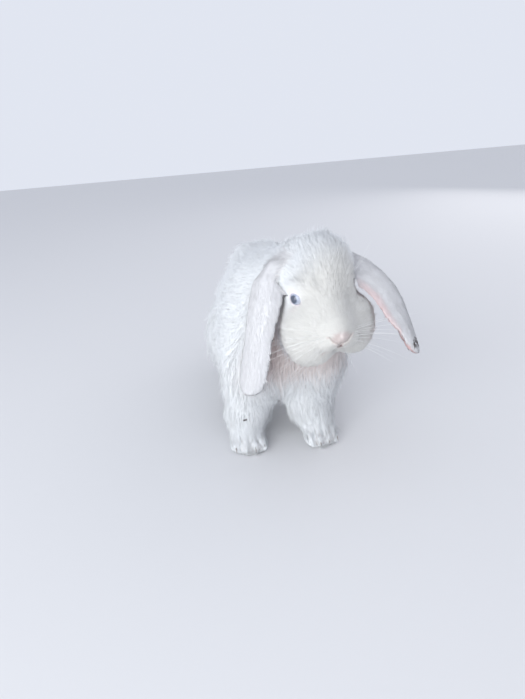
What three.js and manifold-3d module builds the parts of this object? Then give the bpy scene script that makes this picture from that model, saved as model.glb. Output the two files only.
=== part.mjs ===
// A lop-eared rabbit at life size: up on straight forelegs with the haunches folded under it, one ear
// hanging beside the cheek and the other swung out. The solids give the outline of the coat.
// Millimetres, +Z up, the rabbit faces -Y and its left side is +X.
import * as THREE from 'three';
import { mergeVertices } from 'three/addons/utils/BufferGeometryUtils.js';
import { LoftGeometry } from 'three/addons/geometries/LoftGeometry.js';
import Module from 'manifold-3d';

const wasm = await Module();
wasm.setup();

const v3 = ( x, y, z ) => new THREE.Vector3( x, y, z );

// ---------------------------------------------------------------- driving dimensions

const GAP = 0.35; // between neighbouring pieces
const RELAX_PASSES = 4;

const BACK_HEIGHT = 195.5;
const SHOULDER_HALF_WIDTH = 57;
const HAUNCH_HALF_WIDTH = 68;
const FORE_TRACK = 40; // middle of a forefoot from the body's middle
const FORE_Y = - 95; // forefeet along the body
const FORE_STEP = 8; // left forefoot ahead of the right
const WRIST_IN = 4; // how far the wrist stands inside the forefoot
const HIND_TRACK = 39;
const RUMP_Y = 148;

const HEAD_AT = v3( 38.5, - 145, 175.5 ); // in the middle of the face, level with the eyes
const HEAD_YAW = THREE.MathUtils.degToRad( 1 );
const HEAD_PITCH = THREE.MathUtils.degToRad( 6 ); // nose down
const HEAD_ROLL = THREE.MathUtils.degToRad( - 2 ); // right cheek down
const EYE_RADIUS = 8;
const EYE_SPACING = 43.5; // between the middles of the eyeballs
const EYE_BACK = 3; // of the head's own middle
const EAR_THICKNESS = 6.5;
const EAR_RIM = 1.5; // half the width of an ear at its very tip
const CLAW_RADIUS = 1.4;
const CLAW_LENGTH = 5;

// How far apart the points of each piece's surface are.
const CELL = {
	head: 8.6, neck: 13.5, trunk: 16.5, tail: 10, foreleg: 10.8, thigh: 13, forefoot: 7.8, hindfoot: 10,
};

// ---------------------------------------------------------------- fields

// A lump is a function of a point that is below zero inside. Lumps melt together over a given width.
function ellipsoid( centre, radii, turn = null ) {

	const back = turn ? new THREE.Quaternion().setFromEuler( turn ).invert() : null;
	const p = v3();
	return ( q ) => {

		p.subVectors( q, centre );
		if ( back ) p.applyQuaternion( back );
		const near = Math.hypot( p.x / radii.x, p.y / radii.y, p.z / radii.z );
		const slope = Math.hypot( p.x / radii.x ** 2, p.y / radii.y ** 2, p.z / radii.z ** 2 );
		return slope > 1e-9 ? near * ( near - 1 ) / slope : - Math.min( radii.x, radii.y, radii.z );

	};

}

function limb( from, fromRadius, to, toRadius ) {

	const line = new THREE.Line3( from, to );
	const foot = v3();
	return ( q ) => {

		const t = line.closestPointToPointParameter( q, true );
		line.at( t, foot );
		return foot.distanceTo( q ) - THREE.MathUtils.lerp( fromRadius, toRadius, t );

	};

}

function meltedMin( a, b, width ) {

	const share = Math.max( width - Math.abs( a - b ), 0 ) / width;
	return Math.min( a, b ) - share * share * width / 4;

}

function melt( lumps ) {

	return ( q ) => lumps.reduce( ( d, [ lump, width ] ) => meltedMin( d, lump( q ), width ), 1e3 );

}

const bothSides = ( make ) => [ 1, - 1 ].flatMap( make );

// ---------------------------------------------------------------- the head, in its own frame

const headTurn = new THREE.Euler( HEAD_PITCH, HEAD_ROLL, HEAD_YAW, 'ZYX' );
const headFrame = new THREE.Matrix4().compose(
	HEAD_AT, new THREE.Quaternion().setFromEuler( headTurn ), v3( 1, 1, 1 ) );
const intoHead = headFrame.clone().invert();
const onHead = ( x, y, z ) => v3( x, y, z ).applyMatrix4( headFrame );

function headLumps() {

	return [
		[ ellipsoid( v3( 10, 24, 10.5 ), v3( 28, 41, 34.5 ) ), 10 ], // skull and crown
		[ limb( v3( 0, 2, 8 ), 25, v3( 0, - 34, - 13 ), 15 ), 12 ], // forehead and arched nose
		[ ellipsoid( v3( 0, - 31, - 24 ), v3( 20, 19, 16.5 ) ), 10 ], // muzzle
		[ ellipsoid( v3( 0, - 46, - 22 ), v3( 8.5, 6.5, 7.5 ) ), 7 ], // nose
		[ ellipsoid( v3( 0, - 17, - 41 ), v3( 12, 16, 9 ) ), 8 ], // chin
		...bothSides( ( side ) => [
			[ ellipsoid( v3( 22 * side + 2.5, - 2, 2.5 * side - 34 ), v3( 25, 32, 34.5 ) ), 12 ], // cheek and jowl
			[ ellipsoid( v3( 10.5 * side, - 37, - 29.5 ), v3( 12, 11.5, 10.5 ) ), 5 ], // whisker pad
			[ ellipsoid( v3( 19.5 * side, 3, 11 ), v3( 11, 12, 6 ) ), 8 ], // brow
			[ ellipsoid( v3( 24 * side, 32, 2 * side + 16 ), v3( 15, 17, 14 ) ), 12 ], // root of the ear
		] ),
		[ ellipsoid( v3( 2, 46, - 5 ), v3( 38, 34, 46 ) ), 18 ], // back of the jaw and nape
	];

}

const eyeHollow = ( side ) => ellipsoid( v3( 33.5 * side, 0, - 1 ), v3( 8, 11, 9 ) );

// ---------------------------------------------------------------- the body

function bodyLumps() {

	const nape = v3( 26, - 92, 172 );
	const neckRoot = v3( 10, - 40, 148 );
	const shoulderX = ( side ) => ( SHOULDER_HALF_WIDTH - 18 ) * side - 1;
	return [
		[ limb( nape, 43, neckRoot, 54 ), 20 ],
		[ ellipsoid( v3( 15, - 74, 101 ), v3( 54, 42, 56 ) ), 22 ], // chest
		[ ellipsoid( v3( 53, - 80, 88 ), v3( 31, 30, 38 ) ), 16 ], // fluff on the left of the chest
		[ ellipsoid( v3( 1, - 14, 112 ), v3( SHOULDER_HALF_WIDTH - 3, 66, 70 ) ), 22 ], // ribs
		[ ellipsoid( v3( 1, RUMP_Y - 62, 86 ), v3( HAUNCH_HALF_WIDTH - 16, 62, 72 ) ), 20 ], // rump
		...bothSides( ( side ) => [
			[ ellipsoid( v3( 15 * side + 13, 38, BACK_HEIGHT - 76 ), v3( 32, 76, 76 ) ), 18 ], // loin
			[ ellipsoid( v3( ( HAUNCH_HALF_WIDTH - 29 ) * side, 52, 64 ), v3( 29, 60, 48 ) ), 16 ], // thigh
			[ ellipsoid( v3( shoulderX( side ), - 48, 98 ), v3( 21.5, 36, 50 ) ), 14 ], // shoulder
			[ limb( v3( 13 * side + 3, - 86, 64 ), 20, v3( 27 * side, - 92, 38 ), 14 ), 8 ], // inner foreleg
		] ),
	];

}

function tailLumps() {

	const root = v3( 0, RUMP_Y - 6, 60 );
	const tip = v3( 0, RUMP_Y + 7, 88 );
	return [ [ limb( root, 20, tip, 17 ), 8 ] ];

}

const foreX = ( side ) => FORE_TRACK * side - 2;
const foreY = ( side ) => FORE_Y - ( side > 0 ? FORE_STEP : 0 );
const wrist = ( side ) => v3( foreX( side ) - WRIST_IN * side, foreY( side ) + 8, 26 );

function forelegLumps( side ) {

	const elbow = v3( ( FORE_TRACK + 1 ) * side + 8, - 78, 80 );
	return [ [ limb( elbow, 28, wrist( side ), 22.5 ), 14 ] ];

}

// The ball of each foot, and its four toes fanned out from there: the root and the end of each one.
const foreBall = ( side ) => v3( foreX( side ), foreY( side ) - 8, 14 );
const hindBall = ( side ) => v3( HIND_TRACK * side, 20, 12 );

function toes( ball, reach, spread, radius, side ) {

	return [ - 1.5, - 0.5, 0.5, 1.5 ].map( ( place ) => ( {
		root: v3( ball.x + place * spread * 0.7 * side, ball.y, radius + 2 ),
		end: v3( ball.x + place * spread * side, ball.y - reach + Math.abs( place + 0.3 ) * 3, radius - 1 ),
		radius,
	} ) );

}

const foreToes = ( side ) => toes( foreBall( side ), 23.5, 9.6, 7.6, side );
const hindToes = ( side ) => toes( hindBall( side ), 22, 7, 7.5, side );
const toeLumps = ( list ) => list.map(
	( { root, end, radius } ) => [ limb( root, radius + 1, end, radius ), 2.5 ] );

function forefootLumps( side ) {

	return [ [ limb( wrist( side ), 22.5, foreBall( side ), 17.5 ), 10 ], ...toeLumps( foreToes( side ) ) ];

}

function hindfootLumps( side ) {

	const heel = v3( ( HIND_TRACK - 2 ) * side, 104, 14 );
	return [ [ limb( heel, 16, hindBall( side ), 13 ), 10 ], ...toeLumps( hindToes( side ) ) ];

}

// ---------------------------------------------------------------- from a field to a closed mesh

const AXES = [ 'x', 'y', 'z' ];

// A point of the cell where the field changes sign, for each such cell, joined across each grid edge
// that the surface crosses. What leaves the box is closed at the box.
function netOver( field, box, cell ) {

	const count = box.getSize( v3() ).divideScalar( cell ).ceil().addScalar( 1 );
	const index = ( i, j, k ) => ( k * count.y + j ) * count.x + i;
	const sample = new Float32Array( count.x * count.y * count.z ).fill( cell );
	const at = ( i, j, k ) => v3( i, j, k ).multiplyScalar( cell ).add( box.min );
	for ( let k = 1; k < count.z - 1; k ++ )
		for ( let j = 1; j < count.y - 1; j ++ )
			for ( let i = 1; i < count.x - 1; i ++ ) sample[ index( i, j, k ) ] = field( at( i, j, k ) );

	const corners = [ 0, 1, 2, 3, 4, 5, 6, 7 ].map( ( c ) => [ c & 1, c >> 1 & 1, c >> 2 & 1 ] );
	const points = [];
	const pointOf = new Map();
	for ( let k = 0; k < count.z - 1; k ++ )
		for ( let j = 0; j < count.y - 1; j ++ )
			for ( let i = 0; i < count.x - 1; i ++ ) {

				const values = corners.map( ( [ a, b, c ] ) => sample[ index( i + a, j + b, k + c ) ] );
				if ( values.every( ( d ) => d < 0 ) || values.every( ( d ) => d >= 0 ) ) continue;
				const middle = v3();
				let crossings = 0;
				for ( let c = 0; c < 8; c ++ )
					for ( let bit = 1; bit < 8; bit <<= 1 ) {

						if ( c & bit || values[ c ] < 0 === values[ c | bit ] < 0 ) continue;
						const t = values[ c ] / ( values[ c ] - values[ c | bit ] );
						middle.add( v3( ...corners[ c ] ).lerp( v3( ...corners[ c | bit ] ), t ) );
						crossings ++;

					}

				pointOf.set( index( i, j, k ), points.length );
				points.push( middle.divideScalar( crossings ).multiplyScalar( cell ).add( at( i, j, k ) ) );

			}

	const faces = [];
	for ( let k = 0; k < count.z - 1; k ++ )
		for ( let j = 0; j < count.y - 1; j ++ )
			for ( let i = 0; i < count.x - 1; i ++ )
				AXES.forEach( ( _, axis ) => {

					const next = [ i, j, k ];
					next[ axis ] ++;
					const inside = sample[ index( i, j, k ) ] < 0;
					if ( inside === sample[ index( ...next ) ] < 0 ) return;
					const around = [ [ 0, 0 ], [ - 1, 0 ], [ - 1, - 1 ], [ 0, - 1 ] ].map( ( [ u, w ] ) => {

						const place = [ i, j, k ];
						place[ ( axis + 1 ) % 3 ] += u;
						place[ ( axis + 2 ) % 3 ] += w;
						return pointOf.get( index( ...place ) );

					} );
					if ( ! inside ) around.reverse();
					const [ a, b, c, d ] = around;
					const shortWay = points[ a ].distanceTo( points[ c ] ) < points[ b ].distanceTo( points[ d ] );
					faces.push( ...( shortWay ? [ a, b, c, a, c, d ] : [ a, b, d, b, c, d ] ) );

				} );

	return { points, faces };

}

function slopeOf( field, p ) {

	const step = 0.4;
	const away = v3();
	AXES.forEach( ( axis ) => {

		const q = p.clone();
		q[ axis ] += step;
		const ahead = field( q );
		q[ axis ] -= 2 * step;
		away[ axis ] = ( ahead - field( q ) ) / ( 2 * step );

	} );
	return away;

}

// Evens the points out over the surface, and puts each one back on it.
function relax( net, field, cell ) {

	const { points, faces } = net;
	const onSurface = points.map( ( p ) => Math.abs( field( p ) ) < cell );
	for ( let pass = 0; pass < RELAX_PASSES; pass ++ ) {

		const sums = points.map( () => v3() );
		const counts = new Array( points.length ).fill( 0 );
		for ( let f = 0; f < faces.length; f += 3 )
			for ( let c = 0; c < 3; c ++ ) {

				sums[ faces[ f + c ] ].add( points[ faces[ f + ( c + 1 ) % 3 ] ] );
				counts[ faces[ f + c ] ] ++;

			}

		points.forEach( ( p, i ) => {

			if ( ! onSurface[ i ] ) return;
			if ( pass < RELAX_PASSES - 1 ) p.lerp( sums[ i ].divideScalar( counts[ i ] ), 0.5 );
			const slope = slopeOf( field, p );
			p.addScaledVector( slope, - field( p ) / Math.max( slope.lengthSq(), 0.2 ) );

		} );

	}

}

function solidOf( geometry ) {

	const bare = new THREE.BufferGeometry().copy( geometry );
	Object.keys( bare.attributes ).forEach( ( name ) => name !== 'position' && bare.deleteAttribute( name ) );
	const merged = mergeVertices( bare, 1e-3 );
	return new wasm.Manifold( new wasm.Mesh( {
		numProp: 3,
		vertProperties: merged.attributes.position.array,
		triVerts: new Uint32Array( merged.index.array ),
	} ) );

}

function solidIn( field, low, high, cell ) {

	const net = netOver( field, new THREE.Box3( low, high ), cell );
	relax( net, field, cell );
	const geometry = new THREE.BufferGeometry().setFromPoints( net.points ).setIndex( net.faces );
	return solidOf( geometry );

}

// ---------------------------------------------------------------- cutting tools

const FAR = 600;

function boxBetween( low, high, grow = 0 ) {

	const box = new THREE.Box3( low, high ).expandByScalar( grow );
	const size = box.getSize( v3() );
	const geometry = new THREE.BoxGeometry( size.x, size.y, size.z );
	const middle = box.getCenter( v3() );
	return solidOf( geometry.translate( middle.x, middle.y, middle.z ) );

}

// Everything on the side of the plane that its normal points to, less half the gap.
function beyond( point, normal ) {

	const geometry = new THREE.BoxGeometry( FAR, FAR, FAR );
	geometry.translate( 0, 0, FAR / 2 + GAP / 2 );
	geometry.applyQuaternion( new THREE.Quaternion().setFromUnitVectors( v3( 0, 0, 1 ), normal ) );
	return solidOf( geometry.translate( point.x, point.y, point.z ) );

}

const sideBox = ( side, near, far, y0, y1, z0, z1, grow = 0 ) => boxBetween(
	v3( Math.min( near * side, far * side ), y0, z0 ), v3( Math.max( near * side, far * side ), y1, z1 ), grow );

// ---------------------------------------------------------------- ears, eyes and claws

const EAR_STATIONS = 12;
const EAR_ACROSS = 6;

// A grown copy of a loft is longer by that much at both ends.
const endShift = ( t, grow ) => ( t === 0 ? - grow : t === 1 ? grow : 0 );

// An ear is a long curved leaf: its section is an arc of the given cup, thin at the rims. Its root has
// a share of its full width, and its tip rounds off over a share of its length.
function earGeometry( { route, outward, rootShare, tipShare, width, cup }, grow ) {

	const curve = new THREE.CatmullRomCurve3( route );
	const sections = [];
	for ( let s = 0; s <= EAR_STATIONS; s ++ ) {

		const t = Math.sin( s / EAR_STATIONS * Math.PI / 2 );
		const along = curve.getTangentAt( t );
		const middle = curve.getPointAt( t ).addScaledVector( along, endShift( t, grow ) );
		const face = outward[ 0 ].clone().lerp( outward[ 1 ], t );
		face.addScaledVector( along, - face.dot( along ) ).normalize();
		const across = face.clone().cross( along );
		const leaf = Math.sqrt( 1 - THREE.MathUtils.clamp( ( t + tipShare - 1 ) / tipShare, 0, 1 ) ** 2 );
		const opened = THREE.MathUtils.lerp( rootShare, 1, THREE.MathUtils.smoothstep( t, 0, 0.4 ) );
		const half = opened * leaf * width / 2 + EAR_RIM;
		const thick = Math.min( EAR_THICKNESS * THREE.MathUtils.lerp( 1.5, 1, Math.min( t * 3, 1 ) ), half ) / 2;
		const bend = THREE.MathUtils.lerp( cup[ 0 ], cup[ 1 ], t );
		const radius = half / Math.sin( bend );
		const section = [];
		for ( let i = 0; i < 2 * EAR_ACROSS; i ++ ) {

			const round = i / EAR_ACROSS * Math.PI;
			const angle = Math.cos( round ) * ( bend + grow / radius );
			const layer = radius + Math.sin( round ) * ( thick + grow );
			section.push( middle.clone()
				.addScaledVector( across, Math.sin( angle ) * layer )
				.addScaledVector( face, Math.cos( angle ) * layer - radius ) );

		}

		sections.push( section );

	}

	return new LoftGeometry( sections, { capStart: true, capEnd: true } );

}

function rightEar( grow ) {

	const route = [ onHead( - 20, 34, 30 ), v3( - 9, - 116, 197 ), v3( - 23, - 130, 168 ),
		v3( - 33, - 136, 120 ), v3( - 42, - 132, 74 ) ];
	const outward = [ v3( - 0.3, - 0.1, 1 ), v3( - 0.75, - 0.62, 0.1 ) ];
	const shape = { rootShare: 0.5, tipShare: 0.13, width: 34, cup: [ 1.2, 0.75 ] };
	return earGeometry( { route, outward, ...shape }, grow );

}

function leftEar( grow ) {

	const route = [ onHead( 21, 32, 29 ), v3( 88, - 122, 196 ), v3( 110, - 142, 172.5 ),
		v3( 119.5, - 160, 139 ), v3( 123, - 174, 113 ) ];
	const outward = [ v3( 0.3, - 0.1, 1 ), v3( 0.85, - 0.05, 0.5 ) ];
	const shape = { rootShare: 1.15, tipShare: 0.4, width: 46, cup: [ 1.1, 1.15 ] };
	return earGeometry( { route, outward, ...shape }, grow );

}

// A claw leaves the end of its toe forward and down, and thins to its tip.
const CLAW_SIDES = 5;

function clawGeometry( toe, grow = 0 ) {

	const out = toe.end.clone().sub( toe.root ).setZ( 0 ).normalize();
	const root = toe.end.clone().addScaledVector( out, toe.radius - 4 ).setZ( toe.radius - 1 );
	const tip = root.clone().addScaledVector( out, CLAW_LENGTH ).setZ( CLAW_RADIUS + 0.8 );
	const curve = new THREE.QuadraticBezierCurve3( root, root.clone().lerp( tip, 0.6 ).setZ( root.z ), tip );
	const sections = [ 0, 0.4, 0.75, 1 ].map( ( t ) => {

		const along = curve.getTangent( t );
		const across = v3( 0, 0, 1 ).cross( along ).normalize();
		const up = along.clone().cross( across );
		const size = CLAW_RADIUS * Math.sqrt( 1 - 0.93 * t ) + grow;
		return Array.from( { length: CLAW_SIDES }, ( _, i ) => {

			const angle = i / CLAW_SIDES * 2 * Math.PI;
			return curve.getPoint( t ).addScaledVector( along, endShift( t, grow ) )
				.addScaledVector( across, Math.cos( angle ) * size * 0.75 )
				.addScaledVector( up, Math.sin( angle ) * size );

		} );

	} );
	return new LoftGeometry( sections, { capStart: true, capEnd: true } );

}

// ---------------------------------------------------------------- the pieces

const COAT = new THREE.MeshStandardMaterial( { color: 0xf1f1f4, roughness: 0.95, metalness: 0 } );
const EAR_SKIN = new THREE.MeshStandardMaterial( { color: 0xefe4e6, roughness: 0.85, metalness: 0 } );
const IRIS = new THREE.MeshStandardMaterial( { color: 0x7f95bd, roughness: 0.1, metalness: 0 } );
const CLAW = new THREE.MeshStandardMaterial( { color: 0xcdb8a6, roughness: 0.45, metalness: 0 } );

const rabbit = new THREE.Group();

function add( name, solid, material ) {

	const { vertProperties, triVerts } = solid.getMesh();
	const geometry = new THREE.BufferGeometry();
	geometry.setAttribute( 'position', new THREE.BufferAttribute( vertProperties, 3 ) );
	geometry.setIndex( new THREE.BufferAttribute( triVerts, 1 ) );
	geometry.computeVertexNormals();
	const mesh = new THREE.Mesh( geometry, material );
	mesh.name = name;
	rabbit.add( mesh );

}

const SIDES = [ [ 1, 'left' ], [ - 1, 'right' ] ];
const headMelt = melt( headLumps() );
const eyeHollows = [ 1, - 1 ].map( eyeHollow );
const headField = ( q ) => {

	const p = q.clone().applyMatrix4( intoHead );
	return eyeHollows.reduce( ( d, hollow ) => - meltedMin( - d, hollow( p ), 5 ), headMelt( p ) );

};

const trunkLumps = [
	...bodyLumps(),
	...bothSides( ( side ) => [ ...forelegLumps( side ), ...forefootLumps( side ), ...hindfootLumps( side ) ] ),
];
const whole = melt( [ ...trunkLumps, ...tailLumps(), [ headField, 16 ] ] );

const floorUp = () => boxBetween( v3( - FAR, - FAR, 0 ), v3( FAR, FAR, FAR ) );

const HEAD_CUT = { at: v3( 36, - 104, 180 ), facing: v3( 0.1, - 0.93, 0.35 ).normalize() };
const NECK_CUT = { at: v3( 18, - 62, 150 ), facing: v3( 0.15, - 0.68, 0.72 ).normalize() };
const behind = ( { at, facing } ) => beyond( at, facing.clone().negate() );
const ahead = ( { at, facing } ) => beyond( at, facing );

// Each limb's box: how near and far from the middle, then y and z.
const FORELEG_BOX = [ 6, 95, - 135, - 34, 34, 84 ];
const FOREFOOT_BOX = [ 6, 95, - 160, - 40, - 1, 34 ];
const THIGH_BOX = [ 38, 90, - 12, 112, 27, 112 ];
const HINDFOOT_BOX = [ 16, 90, - 24, 122, - 1, 27 ];
const TAIL_BOX = [ v3( - 26, RUMP_Y - 2, 22 ), v3( 26, RUMP_Y + 40, 120 ) ];

const EYES = SIDES.map( ( [ side, name ] ) => [ onHead( EYE_SPACING / 2 * side, EYE_BACK, 0 ), name ] );
const eyeball = ( centre, grow ) => solidOf(
	new THREE.SphereGeometry( EYE_RADIUS + grow, 12, 8 ).translate( centre.x, centre.y, centre.z ) );

function addHead() {

	let head = solidIn( whole, v3( - 20, - 220, 84 ), v3( 104, - 70, 246 ), CELL.head )
		.intersect( ahead( HEAD_CUT ) );
	EYES.forEach( ( [ centre ] ) => {

		head = head.subtract( eyeball( centre, GAP ) );

	} );
	head = head.subtract( solidOf( rightEar( GAP ) ) ).subtract( solidOf( leftEar( GAP ) ) );
	add( 'head', head, COAT );
	EYES.forEach( ( [ centre, name ] ) => add( 'eye_' + name, eyeball( centre, 0 ), IRIS ) );
	add( 'ear_right', solidOf( rightEar( 0 ) ), EAR_SKIN );
	add( 'ear_left', solidOf( leftEar( 0 ) ), EAR_SKIN );

}

function addNeck() {

	const neck = solidIn( whole, v3( - 60, - 160, 40 ), v3( 96, 20, 240 ), CELL.neck )
		.intersect( behind( HEAD_CUT ) ).intersect( ahead( NECK_CUT ) );
	const nearEars = neck.subtract( solidOf( rightEar( GAP ) ) ).subtract( solidOf( leftEar( GAP ) ) );
	add( 'neck', nearEars, COAT );

}

function addTrunk() {

	let trunk = solidIn( whole, v3( - 100, - 160, - 20 ), v3( 100, 200, 230 ), CELL.trunk )
		.intersect( behind( NECK_CUT ) ).intersect( floorUp() );
	SIDES.forEach( ( [ side ] ) => {

		[ FORELEG_BOX, FOREFOOT_BOX, THIGH_BOX, HINDFOOT_BOX ].forEach( ( box ) => {

			trunk = trunk.subtract( sideBox( side, ...box, GAP ) );

		} );

	} );
	add( 'trunk', trunk.subtract( boxBetween( ...TAIL_BOX, GAP ) ), COAT );
	const tail = solidIn( whole, v3( - 40, RUMP_Y - 20, 10 ), v3( 40, RUMP_Y + 50, 130 ), CELL.tail );
	add( 'tail', tail.intersect( boxBetween( ...TAIL_BOX ) ), COAT );

}

function addLimbs() {

	// The piece of the whole rabbit inside a limb's box. Its foot is left on the floor, flat below.
	const pieceIn = ( side, box, cell, above ) => {

		const [ near, far, y0, y1, z0, z1 ] = box;
		const low = v3( Math.min( near * side, far * side ), y0, z0 ).addScalar( - 2 * cell );
		const high = v3( Math.max( near * side, far * side ), y1, z1 ).addScalar( 2 * cell );
		return solidIn( whole, low, high, cell )
			.intersect( sideBox( side, near, far, y0, y1, z0 + above, z1 ) )
			.intersect( behind( NECK_CUT ) ).intersect( floorUp() );

	};

	const addFoot = ( name, foot, toeList ) => {

		const bare = toeList.reduce( ( left, toe ) => left.subtract( solidOf( clawGeometry( toe, GAP ) ) ), foot );
		add( name, bare, COAT );
		toeList.forEach( ( toe, i ) => {

			add( name.replace( 'foot', 'claw' ) + '_' + ( i + 1 ), solidOf( clawGeometry( toe ) ), CLAW );

		} );

	};

	SIDES.forEach( ( [ side, name ] ) => {

		add( 'foreleg_' + name, pieceIn( side, FORELEG_BOX, CELL.foreleg, GAP ), COAT );
		add( 'thigh_' + name, pieceIn( side, THIGH_BOX, CELL.thigh, GAP ), COAT );
		addFoot( 'forefoot_' + name, pieceIn( side, FOREFOOT_BOX, CELL.forefoot, 0 ), foreToes( side ) );
		addFoot( 'hindfoot_' + name, pieceIn( side, HINDFOOT_BOX, CELL.hindfoot, 0 ), hindToes( side ) );

	} );

}

addHead();
addNeck();
addTrunk();
addLimbs();

// The part's origin is the middle of its outline on the floor.
const part = new THREE.Group();
part.add( rabbit );
const outline = new THREE.Box3().setFromObject( rabbit );
const middle = outline.getCenter( v3() );
rabbit.position.set( - middle.x, - middle.y, - outline.min.z );

export default part;
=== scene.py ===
"""A life-size white lop-eared rabbit, up on its forelegs, with one ear hanging and the other swung out."""
import math

import bmesh
import bpy
import numpy as np
from mathutils import Euler, Matrix, Vector
from mathutils.bvhtree import BVHTree


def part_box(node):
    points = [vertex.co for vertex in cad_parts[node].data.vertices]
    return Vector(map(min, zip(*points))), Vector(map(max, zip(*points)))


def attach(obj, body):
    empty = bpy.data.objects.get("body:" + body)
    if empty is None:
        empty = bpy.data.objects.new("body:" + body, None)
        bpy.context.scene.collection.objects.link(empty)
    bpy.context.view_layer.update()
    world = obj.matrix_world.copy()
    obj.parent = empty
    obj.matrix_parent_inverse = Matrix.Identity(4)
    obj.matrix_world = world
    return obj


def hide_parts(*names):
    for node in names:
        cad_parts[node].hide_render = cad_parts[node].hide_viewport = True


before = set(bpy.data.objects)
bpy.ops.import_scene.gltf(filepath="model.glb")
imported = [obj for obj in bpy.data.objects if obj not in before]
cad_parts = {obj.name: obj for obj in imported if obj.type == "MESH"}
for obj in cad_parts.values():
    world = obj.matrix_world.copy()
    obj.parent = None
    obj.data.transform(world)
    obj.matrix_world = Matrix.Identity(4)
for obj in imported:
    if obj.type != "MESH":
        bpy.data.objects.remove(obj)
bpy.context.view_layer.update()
scene = bpy.context.scene
rng = np.random.default_rng(7)

# ---------------------------------------------------------------- skin
# One skin under the whole coat, from the nose to the tail and out along the ears to their tips.
# It lies inside the outline of the coat by the depth of the fur, which is least on the face, ears and feet.
SIDES = {"left": 1, "right": -1}
EARS = ["ear_left", "ear_right"]
EYES = ["eye_left", "eye_right"]
LIMBS = [part + "_" + side for part in ("foreleg", "thigh", "forefoot", "hindfoot") for side in SIDES]
FLESH = ["head", "neck", "trunk", "tail"] + LIMBS + EARS
CLAWS = [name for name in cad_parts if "claw" in name]
COAT_DEPTH = {"head": 0.0042, "neck": 0.0065, "trunk": 0.0080, "tail": 0.0080, "foreleg": 0.0062,
              "thigh": 0.0078, "forefoot": 0.0034, "hindfoot": 0.0036, "ear": 0.0010}
SOLE_DEPTH = 0.0004
VOXEL = 0.002


def middle_of(name):
    """The middle of a solid's box."""
    return sum(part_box(name), Vector()) / 2


EYE_AT = {side: middle_of("eye_" + side) for side in SIDES}
EYE_RADIUS = 0.008
HEAD_TURN = Euler((math.radians(6), math.radians(-2), math.radians(1)), "XYZ").to_matrix()
EYE_BACK = 0.003
RIGHT_EYE_SHIFT = (-0.0013, 0, -0.0015)
HEAD_AT = (EYE_AT["left"] + EYE_AT["right"]) / 2 - HEAD_TURN @ Vector((0, EYE_BACK, 0))
head_turn = np.array(HEAD_TURN)
head_at = np.array(HEAD_AT)
EYE_AT["right"] += HEAD_TURN @ Vector(RIGHT_EYE_SHIFT)


def into_head(points):
    """Places on the head from between the eyes: x to the rabbit's left, y back from the face, z up."""
    return (points - head_at) @ head_turn


def on_head(*place):
    return HEAD_AT + HEAD_TURN @ Vector(place)


def joined_copy(names, swell):
    """The named solids in one mesh, each grown a little, so that the gaps between them close."""
    joined = bmesh.new()
    for name in names:
        one = bmesh.new()
        one.from_mesh(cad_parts[name].data)
        bmesh.ops.remove_doubles(one, verts=one.verts, dist=1e-6)
        one.normal_update()
        for vert in one.verts:
            vert.co += vert.normal * swell
        data = bpy.data.meshes.new(name)
        one.to_mesh(data)
        one.free()
        joined.from_mesh(data)
        bpy.data.meshes.remove(data)
    data = bpy.data.meshes.new("joined")
    joined.to_mesh(data)
    joined.free()
    return data


def coordinates(data):
    flat = np.empty(len(data.vertices) * 3)
    data.vertices.foreach_get("co", flat)
    return flat.reshape(-1, 3)


def normals(data):
    flat = np.empty(len(data.vertices) * 3)
    data.vertices.foreach_get("normal", flat)
    return flat.reshape(-1, 3)


def edge_pairs(data):
    flat = np.empty(len(data.edges) * 2, int)
    data.edges.foreach_get("vertices", flat)
    return flat.reshape(-1, 2)


def place(data, at):
    data.vertices.foreach_set("co", at.ravel())
    data.update()


def unit(vectors):
    vectors = np.asarray(vectors, float)
    return vectors / np.maximum(np.linalg.norm(vectors, axis=-1, keepdims=True), 1e-12)


def ramp(value, low, high):
    """0 below low, 1 above high and smooth between."""
    t = np.clip((value - low) / (high - low), 0, 1)
    return t * t * (3 - 2 * t)


def spread(values, pairs, passes, share=0.5, hold=None):
    """Smooths values over the mesh. hold, from 0 to 1, is how far a point keeps its own."""
    columns = values.reshape(len(values), -1)
    counts = np.maximum(np.bincount(pairs.ravel(), minlength=len(values)), 1)[:, None]
    free = share if hold is None else (share * (1 - hold))[:, None]
    for _ in range(passes):
        sums = [np.bincount(pairs[:, 0], column[pairs[:, 1]], len(values))
                + np.bincount(pairs[:, 1], column[pairs[:, 0]], len(values)) for column in columns.T]
        columns = columns + free * (np.stack(sums, axis=1) / counts - columns)
    return columns.reshape(values.shape)


# The middle line of each ear from its root to its tip, and the way its back faces at each end.
EAR_ROUTES = {
    "ear_left": [on_head(0.021, 0.032, 0.029), (0.0589, -0.1097, 0.1960), (0.0809, -0.1297, 0.1725),
                 (0.0904, -0.1477, 0.1390), (0.0939, -0.1617, 0.1130)],
    "ear_right": [on_head(-0.020, 0.034, 0.030), (-0.0381, -0.1037, 0.1970), (-0.0521, -0.1177, 0.1680),
                  (-0.0621, -0.1237, 0.1200), (-0.0711, -0.1197, 0.0740)],
}
EAR_BACKS = {"ear_left": ((0.3, -0.1, 1), (0.85, -0.05, 0.5)),
             "ear_right": ((-0.3, -0.1, 1), (-0.75, -0.62, 0.1))}
# How far a rim of each ear hangs out from the solid, on which side and over which stretch.
EAR_HANGS = {"ear_left": (-1, (-0.0030, 0, -0.0050), (0.05, 0.2, 0.6, 0.85)),
             "ear_right": (1, (0.0050, -0.0008, 0), (0.0, 0.2, 0.34, 0.62))}


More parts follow.
